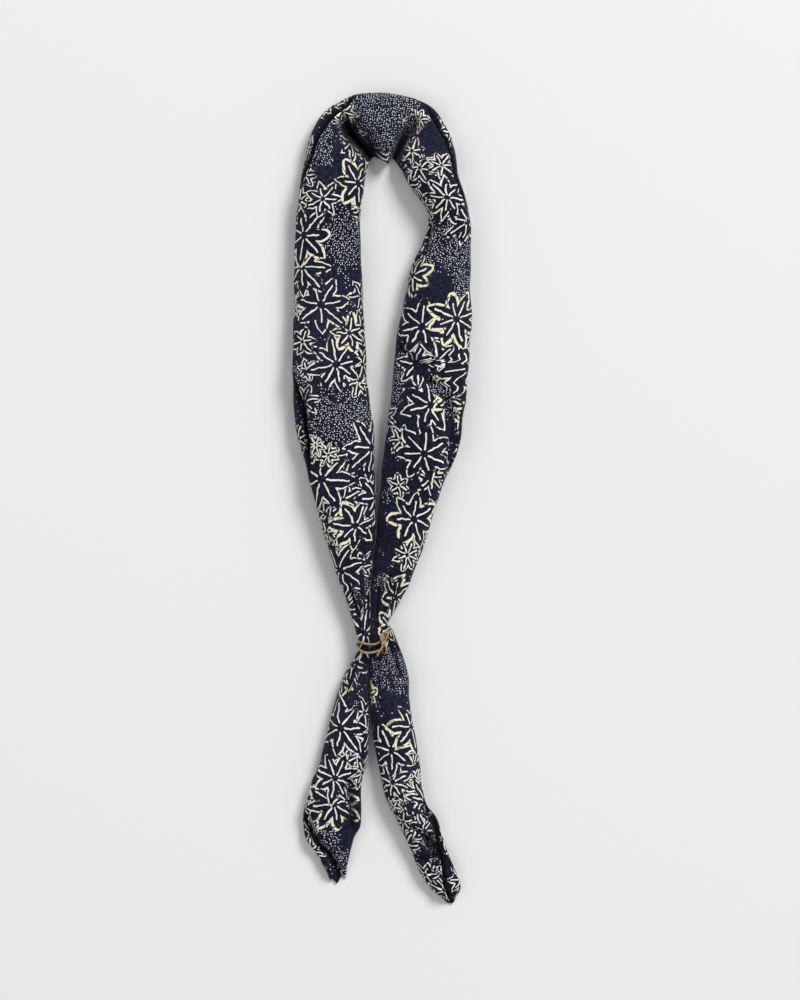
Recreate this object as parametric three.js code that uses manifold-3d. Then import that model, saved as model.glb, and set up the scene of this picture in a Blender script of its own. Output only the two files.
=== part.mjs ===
// A square cotton bandana, folded on its bias into a soft band of many layers. The band lies flat as a
// neck loop, a thin cord tie pinches both limbs together, and two tails spread below the tie.
// Millimetres, +Z up. The loop's closed end points to +Y, the tails to -Y, and z = 0 is the surface.

import * as THREE from "three";
import { mergeVertices } from "three/addons/utils/BufferGeometryUtils.js";
import Module from "manifold-3d";

// The folded cloth
const layerPitch = 2.7; // from one layer's outer face to the next one's, where the band is full
const clothShare = 0.62; // how much of that pitch is cloth, the rest is air between the layers
const coreRoom = 0.4; // room left at the middle of the roll
const rollReserve = 0.2; // turns added when the layers are fitted into a narrow section
const bellyShare = 0.45; // height at which the band is widest, as a share of its full height
const crownPower = 0.9; // under 1 makes the crown fuller than an ellipse
const sidePower = 0.86; // under 1 makes the sides fuller than an ellipse
const underFlat = 1.8; // how soon the underside reaches its flat
const leastLipCos = 0.1; // a lip near the crown no longer bears on the band's width
const tuckSpan = 60; // degrees round the section over which a turn passes under the one above
const stationCount = 90; // sections along the band
const halfTurnSteps = 6; // steps along the cloth over the crown, and again along the underside
const tuckedSteps = 13; // steps along all that is tucked in under the first turn

// The cord tie
const cordDiameter = 1.1;
const cordSides = 8;
const tieY = -68; // middle of the pinched neck
const neckLift = 1.9; // the neck stands this far off the surface, so the cord passes under it
const neckLiftReach = 9; // how far along Y the lift fades out

// The band's sections from the left tail's tip, up the left limb, round the loop's closed end and down
// to the right tail's tip. Outer and inner are the two edges of the band in plan. Lip is the angle round
// the section at which the cloth's last turn ends: 0 at the outer edge, 90 on the crown.
const sectionColumns = ["outerX", "outerY", "innerX", "innerY", "height", "lip", "turns"];
const sectionTable = [
  // left tail
  [-25.3, -187.6, -18.0, -185.6, 4.0, 115, 1.15],
  [-28.6, -181.0, -16.2, -178.0, 6.0, 100, 1.3],
  [-32.6, -173.8, -14.7, -170.5, 7.6, 80, 1.5],
  [-37.2, -167.5, -13.6, -166.0, 9.0, 58, 1.7],
  [-38.8, -159.5, -10.7, -161.0, 10.2, 38, 1.9],
  [-37.4, -150.0, -10.3, -152.0, 11.2, 22, 2.1],
  [-33.8, -138.0, -9.9, -138.5, 12.2, 8, 2.2],
  [-30.2, -128.0, -7.6, -128.5, 12.5, 0, 2.2],
  [-25.6, -109.0, -5.5, -110.0, 12.3, 0, 2.2],
  [-19.6, -89.0, -6.3, -89.0, 11.6, 0, 1.9],
  [-14.4, -79.3, -6.4, -80.5, 11.3, 0, 1.7],
  [-12.0, -74.5, -6.3, -75.0, 10.8, 0, 1.6],
  // left side of the pinched neck
  [-10.6, -70.2, -6.2, -69.6, 10.4, 0, 1.6],
  [-11.9, -65.6, -6.0, -65.4, 10.8, 0, 1.6],
  // left limb
  [-14.4, -59.5, -5.9, -59.8, 11.8, 0, 1.8],
  [-17.8, -49.7, -5.4, -49.7, 13.2, 0, 2.0],
  [-24.5, -30.1, -4.2, -30.1, 15.0, 0, 2.3],
  [-30.4, -10.5, -3.1, -10.5, 16.4, 8, 2.5],
  [-37.7, 18.9, -3.6, 18.9, 17.5, 34, 2.6],
  [-42.1, 33.6, -3.9, 33.6, 17.8, 44, 2.6],
  [-43.3, 45.0, -5.3, 45.0, 17.8, 42, 2.6],
  [-43.4, 58.1, -7.1, 58.1, 17.5, 28, 2.6],
  [-43.1, 97.3, -9.1, 97.3, 16.4, 5, 2.6],
  [-42.1, 136.5, -10.8, 134.0, 16.4, 12, 2.6],
  [-39.7, 156.0, -8.8, 152.5, 16.8, 30, 2.6],
  // closed end of the loop, with its two mitred corners
  [-37.7, 165.9, -7.8, 158.6, 17.0, 38, 2.6],
  [-33.8, 180.6, -6.4, 163.4, 17.0, 43, 2.6],
  [-27.9, 189.4, -5.2, 166.3, 16.6, 45, 2.6],
  [-19.6, 195.3, -4.0, 167.7, 16.0, 42, 2.6],
  [-12.7, 197.6, -1.5, 166.8, 16.6, 25, 2.6],
  [-4.0, 198.7, 1.2, 165.2, 16.9, 10, 2.6],
  [3.5, 198.6, 2.9, 164.2, 16.9, 6, 2.6],
  [12.0, 197.0, 4.0, 165.6, 16.7, 12, 2.6],
  [19.6, 194.0, 5.0, 166.8, 16.3, 25, 2.6],
  [26.0, 190.0, 6.9, 164.6, 16.3, 38, 2.6],
  [31.9, 181.6, 9.8, 160.0, 16.6, 43, 2.6],
  [35.4, 171.0, 14.0, 152.4, 17.0, 40, 2.6],
  [37.4, 158.5, 18.6, 146.2, 17.0, 38, 2.6],
  [41.0, 146.5, 22.2, 141.4, 16.6, 34, 2.5],
  [43.0, 135.0, 22.8, 134.0, 16.6, 28, 2.5],
  // right limb
  [43.2, 124.0, 19.4, 124.0, 16.8, 16, 2.5],
  [43.2, 112.0, 14.2, 112.0, 17.0, 6, 2.6],
  [43.5, 80.0, 7.4, 80.0, 17.5, 5, 2.6],
  [41.8, 58.0, 5.0, 58.0, 17.8, 15, 2.6],
  [39.3, 38.5, 2.8, 38.5, 17.7, 28, 2.6],
  [35.6, 18.9, 0.4, 18.9, 17.2, 22, 2.6],
  [30.6, 9.1, -0.1, 8.5, 16.8, 12, 2.6],
  [21.4, -20.3, -2.6, -20.3, 15.4, 0, 2.4],
  [14.2, -39.9, -3.7, -39.9, 14.0, 0, 2.2],
  [9.1, -49.7, -4.5, -49.7, 13.0, 0, 2.0],
  [4.0, -58.6, -5.0, -59.5, 11.8, 0, 1.8],
  // right side of the pinched neck
  [1.6, -62.6, -5.1, -65.0, 10.8, 0, 1.6],
  [0.9, -65.6, -5.2, -69.2, 10.4, 0, 1.6],
  [3.8, -65.8, -5.2, -73.6, 10.8, 0, 1.6],
  // right tail
  [6.6, -68.8, -5.3, -78.0, 11.3, 0, 1.7],
  [9.8, -76.0, -5.3, -84.0, 11.8, 0, 1.9],
  [12.8, -86.0, -5.1, -91.0, 12.0, 0, 2.0],
  [13.5, -98.0, -4.7, -101.0, 12.1, 0, 2.1],
  [18.6, -128.1, -2.2, -129.5, 12.3, 0, 2.2],
  [21.4, -147.7, 2.8, -149.0, 11.8, 16, 2.1],
  [26.6, -157.0, 7.5, -158.5, 11.2, 34, 2.0],
  [29.3, -164.5, 11.5, -166.5, 10.4, 48, 1.9],
  [32.0, -172.5, 15.4, -174.5, 9.4, 66, 1.7],
  [35.8, -182.0, 19.4, -184.0, 8.2, 84, 1.5],
  [38.6, -190.0, 25.0, -192.5, 6.6, 100, 1.3],
  [37.2, -195.0, 30.5, -197.0, 5.0, 112, 1.2],
  [35.5, -197.6, 32.8, -198.4, 3.8, 118, 1.15],
];

// Soft troughs in the folded cloth, each along a line in plan. Depth is the share of the band's height
// that is lost at the line, and a negative one is a ridge.
const foldColumns = ["fromX", "fromY", "toX", "toY", "width", "depth"];
const foldTable = [
  // the two mitred corners
  [-20.5, 194.0, -3.5, 167.5, 4.2, 0.55],
  [-13.0, 188.0, -5.0, 174.0, 3.6, 0.18],
  [16.5, 192.0, 5.5, 166.0, 3.4, 0.42],
  [28.5, 184.0, 12.0, 164.0, 3.4, 0.14],
  // across the right limb, then along its outer edge
  [22.5, 59.0, 35.0, 31.0, 2.8, 0.16],
  [35.0, 31.0, 33.0, 12.0, 2.6, 0.14],
  [36.5, 128.0, 38.0, 150.0, 2.6, 0.12],
  // gathers that run into the tie from the limbs
  [-10.5, -64.0, -16.0, -34.0, 1.8, 0.12],
  [-8.0, -62.0, -10.0, -28.0, 2.0, -0.08],
  [-2.6, -62.0, 1.0, -30.0, 1.9, 0.13],
  [1.0, -60.0, 8.0, -32.0, 2.0, -0.08],
  // gathers that run out of it into the tails
  [-9.0, -76.0, -15.5, -112.0, 2.2, 0.16],
  [-13.0, -80.0, -22.0, -112.0, 2.4, -0.1],
  [-1.5, -76.0, 2.5, -116.0, 2.3, 0.14],
  [4.5, -72.0, 9.0, -88.0, 2.3, 0.2],
  // the tail ends
  [-16.0, -140.0, -13.2, -160.0, 2.4, 0.2],
  [-34.0, -156.0, -22.0, -182.0, 2.4, 0.22],
  [20.0, -150.0, 29.0, -168.0, 2.4, 0.2],
  [19.0, -176.0, 33.0, -186.0, 2.6, 0.28],
];

function namedRows(columns, table) {
  return table.map((row) => Object.fromEntries(columns.map((name, i) => [name, row[i]])));
}

const sections = namedRows(sectionColumns, sectionTable);
const folds = namedRows(foldColumns, foldTable);

// Smooth lines along the band through the two edges of the sections, and through their other columns.
const outerEdge = new THREE.CatmullRomCurve3(
  sections.map((s) => new THREE.Vector3(s.outerX, s.outerY, 0)),
);
const innerEdge = new THREE.CatmullRomCurve3(
  sections.map((s) => new THREE.Vector3(s.innerX, s.innerY, 0)),
);
const profile = new THREE.CatmullRomCurve3(
  sections.map((s) => new THREE.Vector3(s.height, s.lip, s.turns)),
);

function sectionAt(share) {
  const outer = outerEdge.getPoint(share);
  const inner = innerEdge.getPoint(share);
  const [height, lip, turns] = profile.getPoint(share).toArray();
  const centre = outer.clone().add(inner).multiplyScalar(0.5);
  const halfWidth = outer.distanceTo(inner) / 2;
  const outward = outer.clone().sub(inner).normalize();
  const room = Math.min(halfWidth, height / 2) - coreRoom;
  const pitch = Math.min(layerPitch, room / (turns + rollReserve));
  return { centre, outward, halfWidth, height, lip, turns, pitch };
}

// How far a turn has moved in from the outer face of the band. It moves in one pitch each time round,
// on the outer side, so the crown and the underside of each turn lie level.
function insetAt(section, angle) {
  let inset = 0;
  for (let under = section.lip + 360; under - tuckSpan < angle; under += 360) {
    inset += section.pitch * THREE.MathUtils.smoothstep(angle, under - tuckSpan, under);
  }
  return inset;
}

function evenly(from, to, steps) {
  return Array.from({ length: steps }, (_, i) => from + ((to - from) * i) / steps);
}

// Half the width on the outer side, so that the widest turn there just reaches the outer edge.
function outerHalfWidth(section) {
  const lipCos = Math.max(leastLipCos, Math.cos(THREE.MathUtils.degToRad(section.lip)));
  const toLip = section.halfWidth / lipCos ** sidePower;
  return Math.min(toLip, section.halfWidth + insetAt(section, 360));
}

function foldScale(x, y) {
  const point = new THREE.Vector3(x, y, 0);
  const nearest = new THREE.Vector3();
  let scale = 1;
  for (const fold of folds) {
    const from = new THREE.Vector3(fold.fromX, fold.fromY, 0);
    const to = new THREE.Vector3(fold.toX, fold.toY, 0);
    new THREE.Line3(from, to).closestPointToPoint(point, true, nearest);
    const away = nearest.distanceTo(point) / fold.width;
    scale *= 1 - fold.depth * Math.exp(-away * away);
  }
  return scale;
}

function liftAt(y) {
  const away = (y - tieY) / neckLiftReach;
  return neckLift * Math.exp(-(away ** 4));
}

// A point of the cloth: angle round the section in degrees, and depth under the turn's outer face.
function clothPoint(section, angle, depth) {
  const inset = insetAt(section, angle) + depth;
  const cos = Math.cos(THREE.MathUtils.degToRad(angle));
  const sin = Math.sin(THREE.MathUtils.degToRad(angle));
  const belly = section.height * bellyShare;
  const crown = section.height - belly;
  const reach = (cos > 0 ? outerHalfWidth(section) : section.halfWidth) - inset;
  const across = Math.sign(cos) * Math.abs(cos) ** sidePower * reach;
  const up = sin ** crownPower * (crown - inset);
  const down = Math.min(1, -sin * underFlat) * (belly - inset);
  const x = section.centre.x + section.outward.x * across;
  const y = section.centre.y + section.outward.y * across;
  const z = belly + (sin >= 0 ? up : -down);
  return [x, y, liftAt(section.centre.y) + z * foldScale(x, y)];
}

// The whole cloth is one sheet: a ring of points round the sheet's cut edge at each section, joined
// along the band and closed by a strip at each tail's tip.
function makeCloth() {
  const positions = [];
  const indices = [];
  const stepCount = 2 * halfTurnSteps + tuckedSteps;
  const ringSize = 2 * (stepCount + 1);
  for (let k = 0; k < stationCount; k++) {
    const section = sectionAt(k / (stationCount - 1));
    const angles = [
      ...evenly(section.lip, 180, halfTurnSteps),
      ...evenly(180, 360, halfTurnSteps),
      ...evenly(360, section.lip + 360 * section.turns, tuckedSteps),
      section.lip + 360 * section.turns,
    ];
    const depth = section.pitch * clothShare;
    const outerFace = angles.map((angle) => clothPoint(section, angle, 0));
    const innerFace = angles.map((angle) => clothPoint(section, angle, depth));
    positions.push(...outerFace.flat(), ...innerFace.reverse().flat());
  }
  const quad = (a, b, c, d) => indices.push(a, c, b, a, d, c);
  for (let k = 0; k < stationCount - 1; k++) {
    for (let i = 0; i < ringSize; i++) {
      const next = (i + 1) % ringSize;
      const here = k * ringSize;
      const ahead = here + ringSize;
      quad(here + i, ahead + i, ahead + next, here + next);
    }
  }
  const last = (stationCount - 1) * ringSize;
  for (let i = 0; i < stepCount; i++) {
    const under = ringSize - 1 - i;
    quad(i, i + 1, under - 1, under);
    quad(last + i, last + under, last + under - 1, last + i + 1);
  }
  const geometry = new THREE.BufferGeometry();
  geometry.setAttribute("position", new THREE.Float32BufferAttribute(positions, 3));
  geometry.setIndex(indices);
  return geometry;
}

// The tie is one cord. It goes twice round both limbs at the pinch, under them through the lifted neck,
// and is knotted on top at the right, with one small bow and two short free ends. Routes are [x, y, z].
const cordTurns = [
  [0.8, -71.8, 14.0],
  [0.1, -73.1, 13.5],
  [-2.5, -74.6, 13.3],
  [-5.0, -75.3, 13.3],
  [-7.4, -75.4, 13.3],
  [-9.7, -74.8, 13.2],
  [-11.7, -73.1, 11.4],
  [-12.3, -71.7, 8.4],
  [-12.2, -71.3, 5.0],
  [-11.8, -71.2, 2.0],
  [-10.3, -70.8, 0.7],
  [-7.0, -69.3, 0.7],
  [-2.5, -67.1, 0.7],
  [1.0, -65.3, 0.7],
  [2.4, -64.6, 2.0],
  [2.7, -64.5, 5.5],
  [2.5, -64.6, 9.5],
  [1.9, -65.4, 12.6],
  [0.6, -68.2, 13.7],
  [-1.4, -70.2, 13.6],
  [-3.2, -71.1, 13.5],
  [-6.1, -71.3, 13.3],
  [-8.6, -70.8, 13.3],
  [-10.8, -70.2, 12.1],
  [-11.6, -69.8, 9.0],
  [-11.7, -69.7, 5.0],
  [-11.4, -69.5, 2.0],
  [-10.0, -69.0, 0.7],
  [-6.5, -67.4, 0.7],
  [-2.0, -65.3, 0.7],
  [1.8, -63.6, 0.8],
  [3.8, -63.8, 2.2],
  [4.3, -64.2, 5.5],
  [4.1, -64.4, 9.5],
  [3.4, -65.2, 12.7],
  [2.2, -67.4, 14.1],
  [1.2, -70.0, 14.4],
];
const cordBow = [
  [0.9, -70.6, 14.5],
  [0.0, -69.3, 14.8],
  [-0.6, -67.8, 14.8],
  [-0.2, -66.4, 14.7],
  [1.2, -65.5, 14.8],
  [2.5, -65.6, 15.1],
  [2.7, -66.9, 15.3],
  [1.9, -68.8, 15.1],
  [1.1, -70.4, 14.7],
];
const cordEnds = [
  [
    [0.8, -71.0, 14.5],
    [-0.2, -73.2, 14.8],
    [-1.5, -75.2, 14.5],
    [-2.4, -76.8, 13.8],
  ],
  [
    [1.0, -71.0, 14.5],
    [2.0, -72.6, 14.4],
    [2.2, -74.4, 14.0],
    [1.7, -75.8, 13.7],
  ],
];
const knotCentres = [
  [0.9, -70.4, 14.5],
  [0.9, -71.4, 14.5],
];
const knotRadius = 0.85;
const knotSteps = 12;
const stepsPerPoint = 2;

const wasm = await Module();
wasm.setup();

function solidOf(geometry) {
  const bare = geometry.clone();
  bare.deleteAttribute("normal");
  bare.deleteAttribute("uv");
  const merged = mergeVertices(bare);
  const vertProperties = merged.attributes.position.array;
  const triVerts = new Uint32Array(merged.index.array);
  return new wasm.Manifold(new wasm.Mesh({ numProp: 3, vertProperties, triVerts }));
}

function geometryOf(solid) {
  const mesh = solid.getMesh();
  const geometry = new THREE.BufferGeometry();
  geometry.setAttribute("position", new THREE.BufferAttribute(mesh.vertProperties, 3));
  geometry.setIndex(new THREE.BufferAttribute(mesh.triVerts, 1));
  return geometry;
}

function cordAlong(points) {
  const round = new THREE.Shape();
  for (let i = 0; i < cordSides; i++) {
    const angle = (2 * Math.PI * i) / cordSides;
    const x = (cordDiameter / 2) * Math.cos(angle);
    const y = (cordDiameter / 2) * Math.sin(angle);
    if (i === 0) round.moveTo(x, y);
    else round.lineTo(x, y);
  }
  const extrudePath = new THREE.CatmullRomCurve3(points.map((p) => new THREE.Vector3(...p)));
  const steps = stepsPerPoint * (points.length - 1);
  return new THREE.ExtrudeGeometry(round, { extrudePath, steps, bevelEnabled: false });
}

function knotTurn(centre) {
  const ring = new THREE.TorusGeometry(knotRadius, cordDiameter / 2, cordSides, knotSteps);
  return ring.rotateX(Math.PI / 2).translate(...centre);
}

function makeTie() {
  const runs = [cordTurns, cordBow, ...cordEnds].map(cordAlong);
  const wraps = knotCentres.map(knotTurn);
  const solids = [...runs, ...wraps].map(solidOf);
  return geometryOf(solids.reduce((whole, piece) => whole.add(piece)));
}

const clothMaterial = new THREE.MeshStandardMaterial({
  color: 0x23263c,
  roughness: 0.92,
  metalness: 0,
});
const cordMaterial = new THREE.MeshStandardMaterial({
  color: 0x9a7b4c,
  roughness: 0.8,
  metalness: 0,
});

const cloth = new THREE.Mesh(makeCloth(), clothMaterial);
cloth.name = "bandana";
const tie = new THREE.Mesh(makeTie(), cordMaterial);
tie.name = "tie";

const bandana = new THREE.Group();
bandana.add(cloth, tie);

export default bandana;
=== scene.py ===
import math
import random

import bpy
import numpy as np
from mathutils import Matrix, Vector, noise


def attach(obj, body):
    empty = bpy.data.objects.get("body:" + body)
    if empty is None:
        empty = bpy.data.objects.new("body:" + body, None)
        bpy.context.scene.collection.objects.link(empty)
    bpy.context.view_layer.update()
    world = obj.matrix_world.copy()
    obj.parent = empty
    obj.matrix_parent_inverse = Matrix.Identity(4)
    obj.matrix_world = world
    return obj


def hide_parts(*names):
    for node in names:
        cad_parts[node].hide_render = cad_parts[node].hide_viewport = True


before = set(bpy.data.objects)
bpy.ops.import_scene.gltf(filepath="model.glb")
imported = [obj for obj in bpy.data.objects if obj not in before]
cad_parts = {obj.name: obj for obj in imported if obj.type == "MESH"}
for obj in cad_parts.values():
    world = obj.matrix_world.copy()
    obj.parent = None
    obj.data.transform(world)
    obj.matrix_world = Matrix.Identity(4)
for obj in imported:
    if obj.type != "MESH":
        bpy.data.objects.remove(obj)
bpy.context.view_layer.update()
mm = 0.001
print("frame loaded:", ", ".join(sorted(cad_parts)))

# camera: straight above, with the closed end of the loop at the top of the picture
shot = {
    "distance": 3.0,  # metres above the floor
    "covers": 0.491,  # metres of floor from the picture's bottom edge to its top edge
    "middle": (0.0088, -0.0007),
    "sensor": 36.0,
}
eye = bpy.data.cameras.new("shotCamera")
eye.sensor_width = shot["sensor"]
eye.lens = shot["sensor"] * shot["distance"] / shot["covers"]
eye.clip_end = 20
camera = bpy.data.objects.new("shotCamera", eye)
camera.location = (*shot["middle"], shot["distance"])
bpy.context.collection.objects.link(camera)
bpy.context.scene.camera = camera
bpy.context.scene.view_settings.view_transform = "Standard"
print("camera set")


def smoothLine(points, shares):  # centripetal Catmull-Rom, as in the solids
    points = np.asarray(points, float)
    ends = np.vstack([2 * points[0] - points[1], points, 2 * points[-1] - points[-2]])
    spot = np.clip(shares, 0, 1) * (len(points) - 1)
    first = np.minimum(spot.astype(int), len(points) - 2)
    t = (spot - first)[:, None]
    before, start, stop, after = (ends[first + i] for i in range(4))
    pairs = ((before, start), (start, stop), (stop, after))
    gap = [np.sqrt(np.linalg.norm(b - a, axis=1))[:, None] for a, b in pairs]
    leave = (start - before) / gap[0] - (stop - before) / (gap[0] + gap[1]) + (stop - start) / gap[1]
    arrive = (stop - start) / gap[1] - (after - start) / (gap[1] + gap[2]) + (after - stop) / gap[2]
    leave, arrive = leave * gap[1], arrive * gap[1]
    bend = 3 * (stop - start) - 2 * leave - arrive
    return start + leave * t + bend * t**2 + (2 * (start - stop) + leave + arrive) * t**3


def smoothStep(x, low, high):
    t = np.clip((x - low) / (high - low), 0, 1)
    return t * t * (3 - 2 * t)


def lengthAlong(line):
    return np.concatenate([[0], np.cumsum(np.linalg.norm(np.diff(line, axis=0), axis=1))])


def makeObject(name, points, faces, material):  # points in millimetres
    mesh = bpy.data.meshes.new(name)
    mesh.from_pydata(np.asarray(points) * mm, [], faces)
    mesh.polygons.foreach_set("use_smooth", np.ones(len(mesh.polygons), bool))
    mesh.materials.append(material)
    made = bpy.data.objects.new(name, mesh)
    bpy.context.collection.objects.link(made)
    return made


def setPoints(made, name, values):
    made.data.attributes.new(name, "FLOAT", "POINT").data.foreach_set("value", np.ravel(values))


class Thread:  # a shader socket that takes ordinary sums
    def __init__(self, dye, socket):
        self.dye = dye
        self.socket = socket

    def calc(self, operation, *others):
        return self.dye.add("ShaderNodeMath", {"operation": operation}, dict(enumerate((self, *others))))

    def __add__(self, other):
        return self.calc("ADD", other)

    def __sub__(self, other):
        return self.calc("SUBTRACT", other)

    def __mul__(self, other):
        return self.calc("MULTIPLY", other)

    def __truediv__(self, other):
        return self.calc("DIVIDE", other)

    def __mod__(self, other):
        return self.calc("FLOORED_MODULO", other)

    def __radd__(self, other):
        return self.calc("ADD", other)

    def __rmul__(self, other):
        return self.calc("MULTIPLY", other)

    def __rsub__(self, other):
        return self.dye.add("ShaderNodeMath", {"operation": "SUBTRACT"}, {0: other, 1: self})

    def __rtruediv__(self, other):
        return self.dye.add("ShaderNodeMath", {"operation": "DIVIDE"}, {0: other, 1: self})

    def __abs__(self):
        return self.calc("ABSOLUTE")

    def other(self, output):  # another socket of the same node
        return Thread(self.dye, self.socket.node.outputs[output])


class Dye:  # one material and its nodes
    def __init__(self, name):
        self.material = bpy.data.materials.new(name)
        self.material.use_nodes = True
        self.tree = self.material.node_tree
        self.tree.nodes.clear()

    def add(self, kind, settings, sockets, output=0):
        node = self.tree.nodes.new(kind)
        for name, value in settings.items():
            setattr(node, name, value)
        for name, value in sockets.items():
            if isinstance(value, Thread):
                self.tree.links.new(value.socket, node.inputs[name])
            else:
                node.inputs[name].default_value = value
        return Thread(self, node.outputs[output]) if node.outputs else node

    def mix(self, share, one, other):
        one, other = (c if isinstance(c, Thread) else (*c, 1) for c in (one, other))
        return self.add("ShaderNodeMix", {"data_type": "RGBA"}, {0: share, 6: one, 7: other}, 2)

    def noise(self, place, scale, detail=2.0, dimensions="2D"):
        settings = {"noise_dimensions": dimensions}
        return self.add("ShaderNodeTexNoise", settings, {"Vector": place, "Scale": scale, "Detail": detail})

    def clamp(self, value):
        return self.add("ShaderNodeMath", {"operation": "ADD", "use_clamp": True}, {0: value, 1: 0.0})

    def finish(self, sockets):
        shader = self.add("ShaderNodeBsdfPrincipled", {}, sockets)
        self.add("ShaderNodeOutputMaterial", {}, {"Surface": shader})
        return self.material


# the cord tie, routes in millimetres as in the solids
tie = {
    "diameter": 1.1,
    "plies": 3,
    "plyPitch": 2.9,  # millimetres along the cord for one turn of a ply
    "plyDepth": 0.30,  # how deep the groove between two plies is, as a share of the radius
    "plyEdge": 0.6,  # under 1 the groove is narrow and the ply between is round
    "sides": 15,
    "step": 0.28,
    "fibreScale": 5200.0,
    "patchScale": 420.0,
    "knotRadius": 0.85,
    "knotTurns": 2.2,
    "knotSteps": 60,
    "knotFrom": (0.9, -70.1, 14.5),
    "knotTo": (0.9, -71.7, 14.5),
    "tan": (0.23, 0.135, 0.055),
    "tanLight": (0.60, 0.43, 0.235),
    "tanDark": (0.06, 0.030, 0.012),
}
# x, y and z of the cord's middle
tieRoute = [
    # free end on the left of the knot, from its tip
    [-2.4, -76.8, 13.8],
    [-1.5, -75.2, 14.5],
    [-0.2, -73.2, 14.8],
    [0.8, -71.0, 14.5],
    # first turn round both limbs
    [0.8, -71.8, 14.0],
    [0.1, -73.1, 13.5],
    [-2.5, -74.6, 13.3],
    [-5.0, -75.3, 13.3],
    [-7.4, -75.4, 13.3],
    [-9.7, -74.8, 13.2],
    [-11.7, -73.1, 11.4],
    [-12.3, -71.7, 8.4],
    [-12.2, -71.3, 5.0],
    [-11.8, -71.2, 2.0],
    [-10.3, -70.8, 0.7],
    [-7.0, -69.3, 0.7],
    [-2.5, -67.1, 0.7],
    [1.0, -65.3, 0.7],
    [2.4, -64.6, 2.0],
    [2.7, -64.5, 5.5],
    [2.5, -64.6, 9.5],
    [1.9, -65.4, 12.6],
    # second turn
    [0.6, -68.2, 13.7],
    [-1.4, -70.2, 13.6],
    [-3.2, -71.1, 13.5],
    [-6.1, -71.3, 13.3],
    [-8.6, -70.8, 13.3],
    [-10.8, -70.2, 12.1],
    [-11.6, -69.8, 9.0],
    [-11.7, -69.7, 5.0],
    [-11.4, -69.5, 2.0],
    [-10.0, -69.0, 0.7],
    [-6.5, -67.4, 0.7],
    [-2.0, -65.3, 0.7],
    [1.8, -63.6, 0.8],
    [3.8, -63.8, 2.2],
    [4.3, -64.2, 5.5],
    [4.1, -64.4, 9.5],
    [3.4, -65.2, 12.7],
    [2.2, -67.4, 14.1],
    [1.2, -70.0, 14.4],
    # the bow
    [0.9, -70.6, 14.5],
    [0.0, -69.3, 14.8],
    [-0.6, -67.8, 14.8],
    [-0.2, -66.4, 14.7],
    [1.2, -65.5, 14.8],
    [2.5, -65.6, 15.1],
    [2.7, -66.9, 15.3],
    [1.9, -68.8, 15.1],
    [1.1, -70.4, 14.7],
    # free end on the right, to its tip
    [1.0, -71.0, 14.5],
    [2.0, -72.6, 14.4],
    [2.2, -74.4, 14.0],
    [1.7, -75.8, 13.7],
]


def sweepCord(line):
    # a tube round the line with its plies twisted round it, and how deep each point lies between them
    aim = np.gradient(line, axis=0)
    aim /= np.linalg.norm(aim, axis=1)[:, None]
    side = np.cross(aim[0], (0.0, 0.0, 1.0))
    side /= np.linalg.norm(side)
    length = lengthAlong(line)
    turns = np.linspace(0, 2 * math.pi, tie["sides"], endpoint=False)
    points, grooves = [], []
    for place, way, along in zip(line, aim, length):
        side = side - way * side.dot(way)
        side /= np.linalg.norm(side)
        up = np.cross(way, side)
        twist = turns - 2 * math.pi * along / tie["plyPitch"]
        groove = 1 - np.abs(np.sin(twist * tie["plies"] / 2)) ** tie["plyEdge"]
        radius = tie["diameter"] / 2 * (1 - tie["plyDepth"] * groove)
        points.append(place + radius[:, None] * (np.outer(np.cos(turns), side) + np.outer(np.sin(turns), up)))
        grooves.append(groove)
    count = tie["sides"]
    around = [(i, (i + 1) % count) for i in range(count)]
    faces = []
    for k in range(len(line) - 1):
        here, ahead = k * count, (k + 1) * count
        faces += [(here + i, here + j, ahead + j, ahead + i) for i, j in around]
    last = (len(line) - 1) * count
    faces.append(tuple(range(count))[::-1])
    faces.append(tuple(range(last, last + count)))
    return np.vstack(points), faces, np.concatenate(grooves)


def makeCord(name, line):
    points, faces, grooves = sweepCord(line)
    made = makeObject(name, points, faces, waxedCord)
    setPoints(made, "plyGroove", grooves)
    return made


def evenLine(points, fine=40):  # the smooth line in even steps, from so many rough ones a point
    rough = smoothLine(points, np.linspace(0, 1, fine * len(points)))
    length = lengthAlong(rough)
    at = np.linspace(0, length[-1], int(length[-1] / tie["step"]))
    return np.stack([np.interp(at, length, rough[:, i]) for i in range(3)], axis=1)


def cordMaterial():
    dye = Dye("waxedCord")
    place = dye.add("ShaderNodeTexCoord", {}, {}, 3)
    fibre = dye.noise(place, tie["fibreScale"], 3.0, "3D")
    patch = dye.noise(place, tie["patchScale"], 1.0, "3D")
    worn = dye.mix(dye.clamp(patch * 1.6 - 0.3), tie["tan"], tie["tanLight"])
    # painted shade: dark between the plies, where shade falls in the grooves, with loose fibres of both tones
    groove = dye.add("ShaderNodeAttribute", {"attribute_name": "plyGroove"}, {}, 2)
    tone = dye.mix(dye.clamp(groove * 1.3 + fibre * 1.8 - 1.05), worn, tie["tanDark"])
    bump = dye.add("ShaderNodeBump", {}, {"Strength": 0.5, "Distance": 0.1 * mm, "Height": fibre})
    return dye.finish({"Base Color": tone, "Roughness": 0.55, "Normal": bump})


waxedCord = cordMaterial()
tieLine = evenLine(tieRoute)
tieCord = makeCord("tieCord", tieLine)
knotStart, knotStop = np.array(tie["knotFrom"]), np.array(tie["knotTo"])
knotShare = np.linspace(0, 1, tie["knotSteps"])
knotAngle = knotShare * 2 * math.pi * tie["knotTurns"]
knotRing = np.stack([np.cos(knotAngle), 0 * knotAngle, np.sin(knotAngle)], axis=1) * tie["knotRadius"]
knotLine = knotStart + knotShare[:, None] * (knotStop - knotStart) + knotRing
tieKnot = makeCord("tieKnot", knotLine)
for piece in (tieCord, tieKnot):
    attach(piece, "root")
    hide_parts("tie")

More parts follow.
